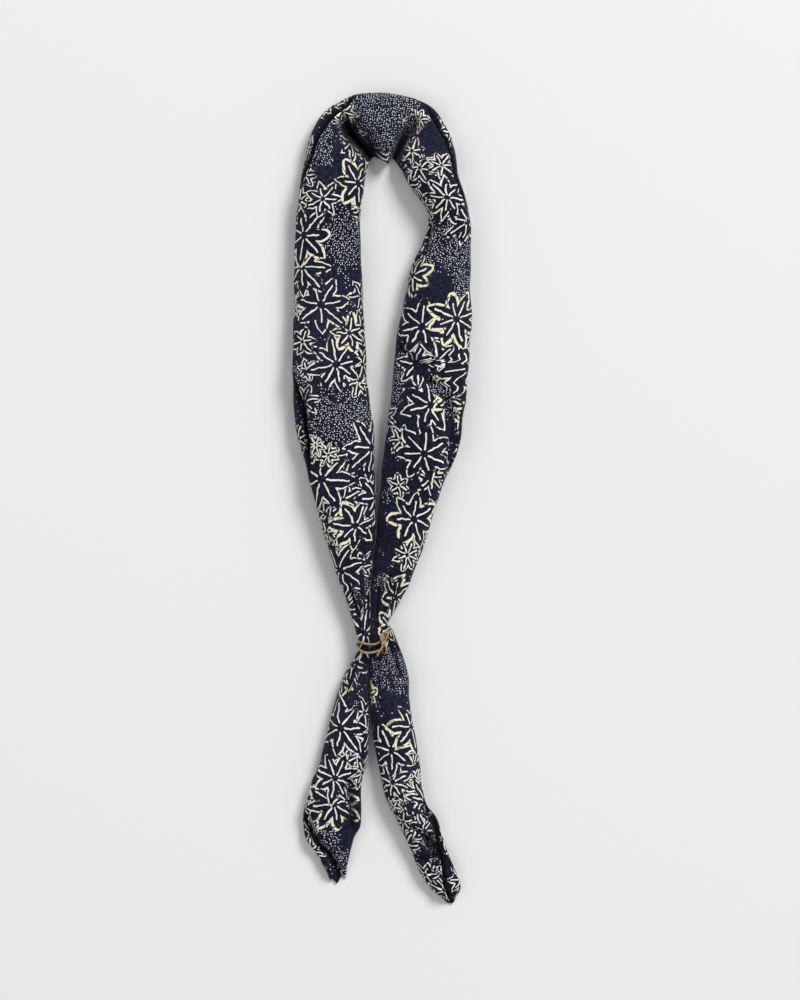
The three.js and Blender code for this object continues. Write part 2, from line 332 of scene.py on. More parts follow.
# the folded cloth: a doubled square, its fold at the lip, rolled into a band
cloth = {
    "cut": 0.56,  # metres, side of the square
    "stations": 520,
    "byLength": 0.55,  # how far the stations keep an even distance, and not an even share of the rows
    "firstPitch": 2.7,  # millimetres from the first turn down to the second
    "firstPitchShare": 0.42,  # of the room round the core, at most
    "innerPitch": 1.9,
    "layerGap": 0.9,  # between the two layers of the doubled cloth
    "layerGapShare": 0.45,  # of the pitch, at most
    "coreRoom": 0.5,
    "extraTurns": 0.9,
    "mostTurns": 5,  # that any part of the roll has
    "bellyShare": 0.45,
    "crownPower": 0.9,
    "sidePower": 0.86,
    "underFlat": 1.8,
    "tuckSpan": 60,  # degrees over which a turn passes under the one above
    "lipMore": 8.0,  # degrees by which the lip lies further in where it shows most
    "lipMoreAt": 42.0,
    "lipMoreSpan": 16.0,
    "dive": 0.95,  # the groove beside the lip, as a share of the first pitch
    "diveAt": -3,  # degrees past the lip
    "diveSpan": 11,
    "stripEnd": 400,  # degrees past the lip, where the strip that shows beside it is well under it
    "crownSteps": 46,
    "underSteps": 30,
    "stripSteps": 14,
    "coreSteps": 24,
    "liningSteps": 34,
    "tieY": -68.0,
    "neckLift": 1.9,
    "neckLiftReach": 9.0,
    "neckSwell": 0.85,  # millimetres by which the cloth fills the cord's turns on its outer side
    "neckSwellReach": 5.5,
    "shoulder": 3.0,  # millimetres by which the right tail laps over the cord
    "shoulderY": -66.9,
    "shoulderReach": 3.1,
    "patch": 25.0,  # the weave runs straight over this length, then follows the band again
    "bandShift": 150,  # millimetres of weave from one band of turns to the next
}
sectionColumns = ["outerX", "outerY", "innerX", "innerY", "height", "lip", "turns"]
sectionTable = [
    # left tail
    [-25.3, -187.6, -18.0, -185.6, 4.0, 115, 1.15],
    [-28.6, -181.0, -16.2, -178.0, 6.0, 100, 1.3],
    [-32.6, -173.8, -14.7, -170.5, 7.6, 80, 1.5],
    [-37.2, -167.5, -13.6, -166.0, 9.0, 58, 1.7],
    [-38.8, -159.5, -10.7, -161.0, 10.2, 38, 1.9],
    [-37.4, -150.0, -10.3, -152.0, 11.2, 22, 2.1],
    [-33.8, -138.0, -9.9, -138.5, 12.2, 8, 2.2],
    [-30.2, -128.0, -7.6, -128.5, 12.5, 0, 2.2],
    [-25.6, -109.0, -6.1, -110.0, 12.3, 0, 2.2],
    [-19.6, -89.0, -6.9, -89.0, 11.6, 0, 1.9],
    [-14.4, -79.3, -6.3, -80.5, 11.3, 0, 1.7],
    [-12.0, -74.5, -6.0, -75.0, 10.8, 0, 1.6],
    # left side of the pinched neck
    [-10.6, -70.2, -5.85, -69.6, 10.4, 0, 1.6],
    [-11.9, -65.6, -5.75, -65.4, 10.8, 0, 1.6],
    # left limb
    [-14.4, -59.5, -5.6, -59.8, 11.8, 0, 1.8],
    [-17.8, -49.7, -5.1, -49.7, 13.2, 0, 2.0],
    [-24.5, -30.1, -3.9, -30.1, 15.0, 0, 2.3],
    [-30.4, -10.5, -2.7, -10.5, 16.4, 8, 2.5],
    [-37.7, 18.9, -3.6, 18.9, 17.5, 34, 2.6],
    [-42.1, 33.6, -3.9, 33.6, 17.8, 44, 2.6],
    [-43.3, 45.0, -5.3, 45.0, 17.8, 42, 2.6],
    [-43.4, 58.1, -7.1, 58.1, 17.5, 28, 2.6],
    [-43.1, 97.3, -9.1, 97.3, 16.4, 5, 2.6],
    [-42.1, 136.5, -10.8, 134.0, 16.4, 12, 2.6],
    [-39.7, 156.0, -8.8, 152.5, 16.8, 30, 2.6],
    # closed end of the loop, with its two mitred corners
    [-37.7, 165.9, -7.8, 158.6, 17.0, 38, 2.6],
    [-33.8, 180.6, -6.4, 163.4, 17.0, 43, 2.6],
    [-27.9, 189.4, -5.2, 166.3, 16.6, 45, 2.6],
    [-19.6, 195.3, -4.0, 167.7, 16.0, 42, 2.6],
    [-12.7, 197.6, -1.5, 166.8, 16.6, 25, 2.6],
    [-4.0, 198.7, 1.2, 165.2, 16.9, 10, 2.6],
    [3.5, 198.6, 2.9, 164.2, 16.9, 6, 2.6],
    [12.0, 197.0, 4.0, 165.6, 16.7, 12, 2.6],
    [19.6, 194.0, 5.0, 166.8, 16.3, 25, 2.6],
    [26.0, 190.0, 6.9, 164.6, 16.3, 38, 2.6],
    [31.9, 181.6, 9.8, 160.0, 16.6, 43, 2.6],
    [35.4, 171.0, 14.0, 152.4, 17.0, 40, 2.6],
    [37.4, 158.5, 18.6, 146.2, 17.0, 38, 2.6],
    [41.0, 146.5, 22.2, 141.4, 16.6, 34, 2.5],
    [43.0, 135.0, 22.8, 134.0, 16.6, 28, 2.5],
    # right limb
    [43.2, 124.0, 19.4, 124.0, 16.8, 16, 2.5],
    [43.2, 112.0, 14.2, 112.0, 17.0, 6, 2.6],
    [43.5, 80.0, 7.4, 80.0, 17.5, 5, 2.6],
    [41.8, 58.0, 5.0, 58.0, 17.8, 15, 2.6],
    [39.3, 38.5, 2.8, 38.5, 17.7, 28, 2.6],
    [35.6, 18.9, 0.4, 18.9, 17.2, 22, 2.6],
    [30.6, 9.1, -0.5, 8.5, 16.8, 12, 2.6],
    [21.4, -20.3, -2.95, -20.3, 15.4, 0, 2.4],
    [14.2, -39.9, -4.2, -39.9, 14.0, 0, 2.2],
    [9.1, -49.7, -4.8, -49.7, 13.0, 0, 2.0],
    [4.0, -58.6, -5.3, -59.5, 11.8, 0, 1.8],
    # right side of the pinched neck
    [1.6, -62.6, -5.4, -65.0, 10.8, 0, 1.6],
    [0.9, -65.6, -5.55, -69.2, 10.4, 0, 1.6],
    [3.8, -65.8, -5.65, -73.6, 10.8, 0, 1.6],
    # right tail
    [6.6, -68.8, -5.9, -78.0, 11.3, 0, 1.7],
    [9.8, -76.0, -6.2, -84.0, 11.8, 0, 1.9],
    [12.8, -86.0, -6.5, -91.0, 12.0, 0, 2.0],
    [13.5, -98.0, -6.2, -101.0, 12.1, 0, 2.1],
    [18.6, -128.1, -2.2, -129.5, 12.3, 0, 2.2],
    [21.4, -147.7, 2.8, -149.0, 11.8, 16, 2.1],
    [26.6, -157.0, 7.5, -158.5, 11.2, 34, 2.0],
    [29.3, -164.5, 11.5, -166.5, 10.4, 48, 1.9],
    [32.0, -172.5, 15.4, -174.5, 9.4, 66, 1.7],
    [35.8, -182.0, 19.4, -184.0, 8.2, 84, 1.5],
    [38.6, -190.0, 25.0, -192.5, 6.6, 100, 1.3],
    [37.2, -195.0, 30.5, -197.0, 5.0, 112, 1.2],
    [35.5, -197.6, 32.8, -198.4, 3.8, 118, 1.15],
]

# soft troughs and ridges, each along a line in plan: fromX, fromY, toX, toY, width
# and depth, a share of the band's height
foldTable = [
    # the two mitred corners
    [-17.5, 182.5, -4.5, 167.5, 3.9, 0.60],
    [-18.0, 182.0, -6.5, 168.5, 2.2, 0.45],
    [-21.5, 194.0, -18.0, 184.0, 2.2, 0.25],
    [15.0, 184.0, 5.5, 166.0, 2.4, 0.45],
    [15.5, 181.5, 7.5, 167.0, 1.5, 0.35],
    [18.0, 194.0, 15.0, 184.0, 2.2, 0.22],
    [28.5, 184.0, 12.0, 164.0, 3.4, 0.14],
    # across the right limb, then along its outer edge
    [10.0, 73.0, 17.3, 66.3, 1.3, 0.16],
    [17.3, 66.3, 24.2, 57.4, 1.4, 0.30],
    [24.2, 57.4, 31.5, 50.1, 1.4, 0.30],
    [31.5, 50.1, 33.6, 42.0, 1.5, 0.28],
    [33.6, 42.0, 34.8, 28.0, 1.6, 0.24],
    [34.8, 28.0, 33.0, 12.0, 1.8, 0.18],
    [13.0, 60.0, 23.0, 46.0, 2.2, -0.06],
    [36.5, 128.0, 38.0, 150.0, 2.6, 0.12],
    # along the inner edge of the right limb
    [24.6, 133.5, 20.8, 120.0, 1.1, 0.22],
    [20.8, 120.0, 15.2, 113.5, 1.0, 0.14],
    # gathers that run into the tie from the limbs
    [-9.9, -66.0, -15.5, -42.0, 1.1, 0.26],
    [-8.2, -66.0, -9.6, -36.0, 1.0, 0.24],
    [-9.0, -64.0, -12.0, -38.0, 1.2, -0.08],
    [-6.9, -65.0, -7.2, -47.0, 0.8, 0.20],
    [-3.4, -64.0, -0.6, -42.0, 0.9, 0.26],
    [-1.6, -63.0, 3.4, -38.0, 1.1, 0.24],
    [0.0, -61.5, 6.5, -44.0, 0.9, 0.18],
    [-2.5, -60.0, 1.5, -34.0, 1.1, -0.08],
    # gathers that run out of it into the tails
    [-8.4, -73.0, -13.5, -104.0, 1.2, 0.26],
    [-10.0, -74.0, -18.5, -98.0, 1.3, 0.24],
    [-13.0, -80.0, -22.0, -112.0, 2.4, -0.1],
    [-7.6, -74.0, -9.4, -92.0, 0.9, 0.18],
    [-2.6, -73.0, -0.5, -104.0, 1.2, 0.22],
    [-0.2, -70.5, 5.0, -92.0, 1.2, 0.26],
    [2.4, -67.5, 9.0, -86.0, 1.3, 0.30],
    [4.6, -68.5, 11.2, -80.0, 1.0, 0.22],
    # the tail ends
    [-16.0, -140.0, -13.2, -160.0, 2.4, 0.2],
    [-35.0, -160.0, -29.5, -171.0, 1.5, 0.30],
    [-29.5, -171.0, -21.5, -184.0, 1.8, 0.34],
    [-26.5, -172.0, -20.0, -182.5, 1.2, 0.22],
    [20.0, -150.0, 29.0, -168.0, 2.0, 0.26],
    [15.5, -161.0, 27.0, -170.0, 1.2, 0.26],
    [21.5, -165.5, 27.5, -176.5, 2.6, 0.34],
    [18.5, -175.5, 30.0, -181.0, 1.3, 0.30],
    [30.0, -174.5, 35.0, -186.0, 1.2, 0.26],
    [22.5, -183.0, 33.5, -186.5, 1.2, 0.26],
    [26.0, -190.5, 35.5, -187.5, 1.1, 0.24],
]

# edges where one part of the cloth lies over the next, lower on the right of the line's way:
# fromX, fromY, toX, toY, reach and drop
edgeTable = [
    [-2.5, 168.0, -19.5, 194.5, 5.0, 0.30],
    [17.0, 193.0, 5.5, 165.5, 4.5, 0.26],
    [15.0, 68.5, 31.5, 50.1, 4.5, 0.16],
    [31.5, 50.1, 34.4, 16.0, 4.5, 0.16],
    [-17.0, -138.5, -13.6, -164.5, 3.5, 0.20],
    [-36.5, -152.0, -28.0, -176.0, 4.0, 0.18],
]


def tableLine(names, shares):
    picked = [sectionColumns.index(name) for name in names]
    return smoothLine([[row[k] for k in picked] for row in sectionTable], shares)


def stationShares(fine=4000):
    t = np.linspace(0, 1, fine)
    middle = (tableLine(["outerX", "outerY"], t) + tableLine(["innerX", "innerY"], t)) / 2
    length = lengthAlong(middle)
    place = (1 - cloth["byLength"]) * t + cloth["byLength"] * length / length[-1]
    return np.interp(np.linspace(0, 1, cloth["stations"]), place, t)


shares = stationShares()
outer, inner = tableLine(["outerX", "outerY"], shares), tableLine(["innerX", "innerY"], shares)
height, lip, turns = tableLine(["height", "lip", "turns"], shares).T[:, :, None]
centre = (outer + inner) / 2
outward = outer - inner
halfWidth = np.linalg.norm(outward, axis=1)[:, None] / 2
outward /= 2 * halfWidth
ahead = np.gradient(centre, axis=0)
ahead /= np.linalg.norm(ahead, axis=1)[:, None]
bandLength = lengthAlong(centre)

turns = turns + cloth["extraTurns"]
lip = lip + cloth["lipMore"] * np.exp(-(((lip - cloth["lipMoreAt"]) / cloth["lipMoreSpan"]) ** 2))
room = np.minimum(halfWidth, height / 2) - cloth["coreRoom"]
firstPitch = np.minimum(cloth["firstPitch"], room * cloth["firstPitchShare"])
innerPitch = np.minimum(cloth["innerPitch"], (room - firstPitch) / (turns - 0.5))
layerGap = np.minimum(cloth["layerGap"], cloth["layerGapShare"] * innerPitch)


def insetAt(angle):  # how far in from the band's outer skin the cloth lies at this angle round the roll
    inset = 0 * angle
    for turn in range(1, cloth["mostTurns"] + 1):
        under = lip + 360 * turn
        pitch = firstPitch if turn == 1 else innerPitch
        inset = inset + pitch * smoothStep(angle, under - cloth["tuckSpan"], under)
    groove = (angle - lip - 360 - cloth["diveAt"]) / cloth["diveSpan"]
    return inset + firstPitch * cloth["dive"] * np.exp(-groove * groove)


def spread(start, stop, steps, last=False):
    share = np.linspace(0, 1, steps + 1) if last else np.arange(steps) / steps
    return start + (stop - start) * share[None, :]


# angles round the roll, from the lip over the crown to the core: 0 is outward and 180 inward
level = np.zeros_like(lip)
stripEnd = lip + cloth["stripEnd"]
core = lip + 360 * turns
overAngles = np.hstack([
    spread(lip, level + 180, cloth["crownSteps"]),
    spread(level + 180, level + 360, cloth["underSteps"]),
    spread(level + 360, stripEnd, cloth["stripSteps"]),
    spread(stripEnd, core, cloth["coreSteps"], True),
])
liningAngles = spread(lip, core, cloth["liningSteps"], True)
bight = np.degrees(layerGap / 2 / np.maximum(halfWidth, 3.0))
bightAngles = np.hstack([lip - bight * 0.8, lip - bight * 1.1, lip - bight * 0.8])
bightDepths = layerGap * np.array([[0.2, 0.5, 0.8]])
ringAngles = np.hstack([overAngles[:, ::-1], bightAngles, liningAngles])
ringDepths = np.hstack([0 * overAngles, bightDepths, 0 * liningAngles + layerGap])
# each ring runs from the core of the outer layer to the lip, round it, and back along the lining
overCount = overAngles.shape[1]
inward180 = overCount - 1 - cloth["crownSteps"]
outward360 = inward180 - cloth["underSteps"]
seamRing = outward360 + 6  # the prints of the first turn and the tucked ones meet here, out of sight
stripStart, stripStop = outward360 - 12, inward180 - 8
ringCount = ringAngles.shape[1]
ringNumber = np.arange(ringCount)[None, :]

cosine, sine = np.cos(np.radians(ringAngles)), np.sin(np.radians(ringAngles))
inset = insetAt(ringAngles) + ringDepths
lipCos = np.maximum(0.1, np.cos(np.radians(lip)))
outerHalf = np.minimum(halfWidth / lipCos ** cloth["sidePower"], halfWidth + insetAt(level + 360))
reach = np.where(cosine > 0, outerHalf, halfWidth) - inset
across = np.sign(cosine) * np.abs(cosine) ** cloth["sidePower"] * reach
atNeck = np.exp(-(((centre[:, 1:] - cloth["tieY"]) / cloth["neckSwellReach"]) ** 4))
across += cloth["neckSwell"] * atNeck * np.maximum(cosine, 0)
atShoulder = np.exp(-(((centre[:, 1:] - cloth["shoulderY"]) / cloth["shoulderReach"]) ** 2))
atShoulder *= ahead[:, 1:] < 0
across += cloth["shoulder"] * atShoulder * np.maximum(cosine, 0)
belly = height * cloth["bellyShare"]
up = np.maximum(sine, 0) ** cloth["crownPower"] * (height - belly - inset)
down = np.minimum(1, -sine * cloth["underFlat"]) * (belly - inset)
rise = belly + np.where(sine >= 0, up, -down)
planX = centre[:, :1] + outward[:, :1] * across
planY = centre[:, 1:] + outward[:, 1:] * across
print("band laid out,", ringAngles.size, "points")


def nearLine(x, y, startX, startY, stopX, stopY):  # how far from the line, on which side, how far along
    wayX, wayY = stopX - startX, stopY - startY
    share = ((x - startX) * wayX + (y - startY) * wayY) / (wayX**2 + wayY**2)
    near = np.clip(share, 0, 1)
    away = np.hypot(x - startX - near * wayX, y - startY - near * wayY)
    side = (wayY * (x - startX) - wayX * (y - startY)) / math.hypot(wayX, wayY)
    return away, side, share


def foldScale(x, y):
    scale = np.ones_like(x)
    for *line, width, depth in foldTable:
        away = nearLine(x, y, *line)[0] / width
        scale *= 1 - depth * np.exp(-away * away)
    for *line, reach, drop in edgeTable:
        side, share = nearLine(x, y, *line)[1:]
        fade = smoothStep(share, -0.05, 0.15) * (1 - smoothStep(share, 0.85, 1.05))
        scale *= 1 - drop * fade * smoothStep(side, -0.5, 0.7) * np.exp(-np.maximum(side, 0) / reach)
    return scale


def softNoise(x, y, size, layer):
    spots = np.stack([x.ravel() / size, y.ravel() / size, 0 * x.ravel() + layer], axis=1)
    return np.array([noise.noise(Vector(spot)) for spot in spots]).reshape(x.shape)


# slack in the cloth: how strong, how large in millimetres, and which layer of the noise
slack = {
    "wave": (0.045, 17.0, 1.7),  # a share of the height, like the next two
    "ripple": (0.022, 6.0, 5.3),
    "tip": (0.42, 3.6, 8.1),
    "ragged": (3.2, 2.6, 2.2),  # millimetres in plan, like the next two
    "swayX": (0.7, 12.0, 11.9),
    "swayY": (0.7, 12.0, 14.3),
}
# where the slack sets in, the gathers that fan out from the tie, and the crumpled tips, in millimetres
drape = {
    "calmNearTie": (6.0, 22.0),
    "gather": 0.13,  # a share of the height
    "gatherRise": (3.0, 12.0),
    "gatherReach": 34.0,
    "gatherCount": 8.5,  # radians across half the band
    "gatherBend": 0.25,
    "gatherBendLength": 19.0,
    "rightStart": 1.0,
    "leftStart": 2.2,
    "limbSeam": -4.0,
    "tipReach": 15.0,
    "flatEnd": 0.4,  # the open end's height, as a share of the band's there
    "flatReach": 5.0,
    "raggedReach": 3.5,
}
# dark lines and hollows where little light gets in: fromX, fromY, toX, toY, reach and dark
shadeTable = [
    # valleys of the closed end
    [-17.0, 180.5, -8.0, 169.5, 3.4, 1.00],
    [-17.4, 180.6, -12.4, 174.4, 4.9, 1.00],
    [13.5, 181.0, 8.0, 168.0, 2.2, 0.85],
    # between the limbs
    [-1.6, 20.0, -2.1, -14.0, 1.7, 0.90],
    [-2.1, -14.0, -3.3, -27.0, 1.5, 0.90],
    [-3.3, -27.0, -5.2, -48.5, 1.0, 0.90],
    [-5.2, -48.5, -5.8, -62.0, 0.8, 0.80],
    [-5.7, -74.0, -6.6, -89.0, 0.9, 0.90],
    [-6.6, -89.0, -6.0, -110.0, 1.1, 0.90],
    [-6.0, -110.0, -4.9, -122.0, 1.1, 0.90],
    # the crease across the right limb, then along its outer edge
    [8.0, 74.5, 17.3, 66.3, 0.8, 0.70],
    [17.3, 66.3, 24.2, 57.4, 1.0, 0.95],
    [24.2, 57.4, 31.5, 50.1, 1.1, 0.95],
    [31.5, 50.1, 33.6, 42.0, 1.1, 0.95],
    [33.6, 42.0, 34.8, 28.0, 1.3, 0.90],
    [34.8, 28.0, 33.8, 14.9, 1.3, 0.85],
    # along the inner edge of the right limb
    [24.4, 132.0, 20.6, 120.6, 0.8, 0.75],
    [20.6, 120.6, 15.2, 113.5, 0.7, 0.50],
    # the flap low on the left limb
    [-37.0, 56.0, -37.8, 30.0, 1.3, 0.85],
    # the tail ends
    [-15.3, -139.0, -14.3, -160.0, 1.9, 0.85],
    [-34.0, -164.0, -28.5, -177.0, 2.0, 0.80],
    [-25.0, -183.5, -20.0, -183.5, 3.2, 0.60],
    [20.5, -148.0, 28.0, -166.0, 1.1, 0.85],
    [22.5, -167.0, 27.0, -174.5, 3.6, 1.00],
    [-31.0, -172.0, -23.5, -184.0, 2.2, 0.75],
    [29.0, -176.0, 34.0, -184.0, 1.6, 0.55],
    [33.0, -180.0, 36.5, -190.0, 2.2, 0.60],
]


def slackIn(name, where):
    strength, size, layer = slack[name]
    return where * strength * softNoise(planX, planY, size, layer)


fromTie = np.abs(planY - cloth["tieY"])
awayFromTie = smoothStep(fromTie, *drape["calmNearTie"])
fromTip = np.minimum(bandLength, bandLength[-1] - bandLength)[:, None]
spot = across / halfWidth + drape["gatherBend"] * np.sin(bandLength[:, None] / drape["gatherBendLength"])
start = np.where(planX > drape["limbSeam"], drape["rightStart"], drape["leftStart"])
gather = 0.5 - 0.5 * np.cos(spot * drape["gatherCount"] + start)
fan = drape["gather"] * smoothStep(fromTie, *drape["gatherRise"]) * np.exp(-fromTie / drape["gatherReach"])
scale = foldScale(planX, planY) * (1 - fan * gather)
scale *= 1 + slackIn("wave", awayFromTie)
scale *= 1 + slackIn("ripple", awayFromTie)
scale *= 1 + slackIn("tip", np.exp(-fromTip / drape["tipReach"]))
scale *= drape["flatEnd"] + (1 - drape["flatEnd"]) * smoothStep(fromTip, 0.0, drape["flatReach"])
ragged = slackIn("ragged", np.exp(-fromTip / drape["raggedReach"]))
lift = cloth["neckLift"] * np.exp(-(((centre[:, 1:] - cloth["tieY"]) / cloth["neckLiftReach"]) ** 4))
clothX = planX + slackIn("swayX", awayFromTie) + ragged * ahead[:, :1]
clothY = planY + slackIn("swayY", awayFromTie) + ragged * ahead[:, 1:]
clothZ = lift + np.maximum(rise * scale, 0)
grid = np.stack([clothX, clothY, clothZ], axis=2)
# painted shade: the cloth is painted darkest, with no print, deep in the folds, along the dark lines and
# hollows of the shade table and in the groove beside the lip
shade = {
    "foldDepth": (0.16, 0.52),  # share of the height that a fold loses, between which its shade sets in
    "groove": (1.9, 3.4),  # millimetres beyond the lip, seen from above, between which its shade ends
    "grooveAngles": (350, 364),
    "grooveLip": (8, 25),  # degrees by which the lip lies in, between which the groove darkens
    "tuck": (1.6, 4.0),  # millimetres along the cloth from right under the lip, where its shade ends
    "rollDark": 0.75,
}
creaseShade = smoothStep(1 - foldScale(planX, planY), *shade["foldDepth"])
for *line, width, dark in shadeTable:
    away = nearLine(planX, planY, *line)[0] / width
    creaseShade = np.maximum(creaseShade, dark * np.exp(-away**3))
# painted shade in the groove beside the lip and on the tucked cloth under it
beside = across - across[:, overCount - 1:overCount]
beyondLip = (1 - smoothStep(beside, *shade["groove"])) * smoothStep(ringAngles, *shade["grooveAngles"])
beyondLip *= smoothStep(lip, *shade["grooveLip"])
fromLip = np.radians(lip + 360 - ringAngles) * halfWidth
underLip = shade["rollDark"] * (1 - smoothStep(fromLip, *shade["tuck"]))
onStrip = ringNumber < stripStop
foldShade = np.clip(np.where(onStrip, np.maximum(beyondLip, underLip), creaseShade), 0, 1)
print("folds pressed in")

# cloth measure round the band: from its inner edge on the first turn, from its outer edge on the tucked turns
span = np.linalg.norm(np.diff(grid, axis=1), axis=2)
around = np.concatenate([np.zeros((len(grid), 1)), np.cumsum(span, axis=1)], axis=1)
firstTurn, tucked, lining = 1, 2, 3
zeroRing = {firstTurn: inward180, tucked: outward360, lining: overCount + 2}
bands = np.full(ringCount - 1, firstTurn)
bands[:seamRing] = tucked
bands[zeroRing[lining]:] = lining
bandAround = {band: around - around[:, ring:ring + 1] for band, ring in zeroRing.items()}

stationCount = len(grid)
faceStation, faceRing = np.meshgrid(np.arange(stationCount - 1), np.arange(ringCount - 1), indexing="ij")
faceStation, faceRing = faceStation.ravel(), faceRing.ravel()
cornerStation = np.stack([faceStation, faceStation + 1, faceStation + 1, faceStation], axis=1)
cornerRing = np.stack([faceRing, faceRing, faceRing + 1, faceRing + 1], axis=1)
clothFaces = (cornerStation * ringCount + cornerRing).tolist()
faceBand = bands[faceRing]
cornerAround = np.select([faceBand[:, None] == band for band in zeroRing],
                         [bandAround[band][cornerStation, cornerRing] for band in zeroRing])
cornerPlan = grid[cornerStation, cornerRing, :2]


# the printed leaves, listed where they show from above, front ones first: x, y, radius, points, lobes
# and thick; points is the way that one lobe points, in degrees clockwise from the closed end
leafTable = [
    # closed end
    [-19.0, 189.0, 7.5, 40, 7, 0],
    [-15.5, 175.0, 8.5, 200, 7, 0],
    [17.5, 184.5, 7.0, 330, 7, 0],
    [15.0, 170.0, 7.5, 20, 7, 0],
    # left limb
    [-11.5, 154.5, 14.0, 275, 7, 1],
    [-28.5, 146.5, 10.0, 90, 7, 0],
    [-38.5, 127.5, 15.5, 90, 7, 1],
    [-38.0, 158.0, 7.0, 30, 6, 0],
    [-39.5, 113.0, 16.5, 90, 8, 0],
    [-29.5, 94.5, 15.5, 28, 7, 0],
    [-10.5, 99.0, 8.5, 265, 6, 0],
    [-16.0, 80.0, 10.5, 324, 7, 1],
    [-10.5, 84.0, 9.0, 300, 6, 0],
    [-22.5, 65.0, 15.5, 80, 8, 0],
    [-38.5, 77.0, 8.0, 20, 6, 0],
    [-36.5, 64.0, 6.0, 45, 6, 0],
    [-38.5, 48.0, 9.0, 30, 7, 0],
    [-32.5, 25.5, 6.5, 60, 8, 0],
    [-26.5, 20.5, 6.5, 10, 7, 0],
    [-29.5, 10.0, 17.0, 0, 7, 0],
    [-5.0, 24.0, 17.5, 230, 8, 0],
    [-3.5, 0.0, 14.0, 316, 7, 0],
    [-13.5, -14.0, 13.5, 178, 7, 1],
    [-20.5, -34.5, 15.0, 69, 7, 0],
    [-20.5, -44.0, 6.0, 100, 6, 1],
    [-8.5, -66.0, 15.0, 0, 7, 0],
    # left tail
    [-14.5, -81.0, 13.5, 152, 7, 0],
    [-19.0, -88.0, 9.0, 178, 6, 1],
    [-20.0, -113.0, 15.5, 36, 7, 0],
    [-22.5, -136.5, 14.0, 64, 8, 0],
    [-24.0, -149.5, 15.5, 167, 8, 1],
    [-35.5, -163.0, 7.0, 100, 7, 0],
    # right limb
    [31.5, 147.0, 12.5, 275, 8, 0],
    [29.5, 163.0, 7.5, 85, 7, 0],
    [18.5, 161.5, 9.0, 265, 7, 0],
    [15.0, 110.0, 11.5, 68, 7, 1],
    [36.5, 87.5, 15.5, 337, 8, 1],
    [20.0, 83.5, 16.5, 358, 7, 0],
    [15.5, 65.5, 12.0, 72, 7, 0],
    [42.0, 64.0, 18.0, 312, 7, 0],
    [32.5, 48.5, 12.5, 16, 8, 1],
    [24.0, 45.0, 16.5, 252, 7, 0],
    [2.5, 40.0, 9.0, 70, 7, 0],
    [20.0, 21.5, 16.5, 270, 7, 0],
    [33.0, 21.0, 9.5, 235, 6, 0],
    [15.5, -10.5, 15.0, 270, 7, 1],
    [12.5, -27.5, 9.0, 245, 8, 0],
    [7.0, -49.0, 13.0, 0, 7, 1],
    # right tail
    [4.0, -63.0, 9.0, 165, 6, 1],
    [-6.0, -96.0, 6.0, 70, 6, 1],
    [14.5, -112.0, 13.5, 325, 7, 1],
    [4.5, -122.5, 14.5, 28, 7, 0],
    [5.5, -138.5, 12.0, 65, 8, 0],
    [22.0, -148.0, 13.0, 237, 8, 0],
    [21.0, -163.0, 11.0, 300, 7, 0],
    [12.0, -169.0, 10.5, 40, 7, 0],
    [21.0, -184.0, 8.0, 30, 6, 0],
    [31.5, -191.5, 9.5, 200, 7, 0],
    [31.0, -179.0, 7.0, 150, 7, 0],
]
# the same on the strip beside the lip, where the turn below shows
stripLeafTable = [
    [-36.0, 171.0, 7.0, 20, 7, 0],
    [-27.0, 191.0, 7.0, 80, 7, 0],
    [-43.0, 148.0, 9.0, 50, 7, 0],
    [-43.5, 62.0, 9.0, 90, 7, 0],
    [-41.0, 30.0, 9.0, 30, 7, 0],
    [33.5, 180.0, 8.5, 300, 7, 0],
    [40.0, 152.0, 9.0, 20, 8, 0],
    [37.0, 20.0, 10.0, 330, 7, 0],
    [-38.5, -157.0, 10.0, 100, 8, 0],
    [-34.0, -172.0, 8.0, 60, 7, 0],
    [31.0, -166.0, 9.0, 350, 7, 0],
    [38.0, -187.0, 8.0, 20, 7, 0],
]

# clouds of fine dots, as ovals in plan: x, y, halfX and halfY
cloudTable = [
    [-26.5, 171.0, 8.5, 11.0],
    [-18.0, 127.0, 9.0, 15.0],
    [-21.0, 39.0, 17.0, 12.5],
    [-41.0, 59.0, 4.0, 9.0],
    [-21.0, 72.0, 5.5, 4.5],
    [-10.0, -43.0, 6.0, 6.5],
    [32.5, 123.0, 11.5, 13.0],
    [38.5, 106.0, 4.5, 8.0],
    [6.5, 58.0, 4.0, 13.0],
    [14.0, 61.0, 4.0, 4.0],
    [3.5, 3.0, 3.0, 3.0],
    [0.0, -40.0, 4.0, 3.5],
    [4.0, -85.0, 9.0, 10.5],
    [9.0, -145.5, 6.0, 4.5],
    [-25.5, -167.0, 4.5, 7.0],
    [-19.5, -177.5, 3.5, 6.5],
]

# places with hardly any print, ovals with the same columns
bareTable = [
    [25.0, 177.0, 8.0, 9.0],
    [27.0, 106.0, 5.5, 5.0],
    [20.0, 99.0, 4.0, 3.0],
    [-28.0, 159.0, 6.0, 3.5],
    [3.5, -98.5, 6.0, 5.0],
    [-16.0, -162.0, 3.5, 8.0],
    [26.5, -158.0, 3.0, 8.0],
    [25.5, -171.5, 3.5, 4.0],
]
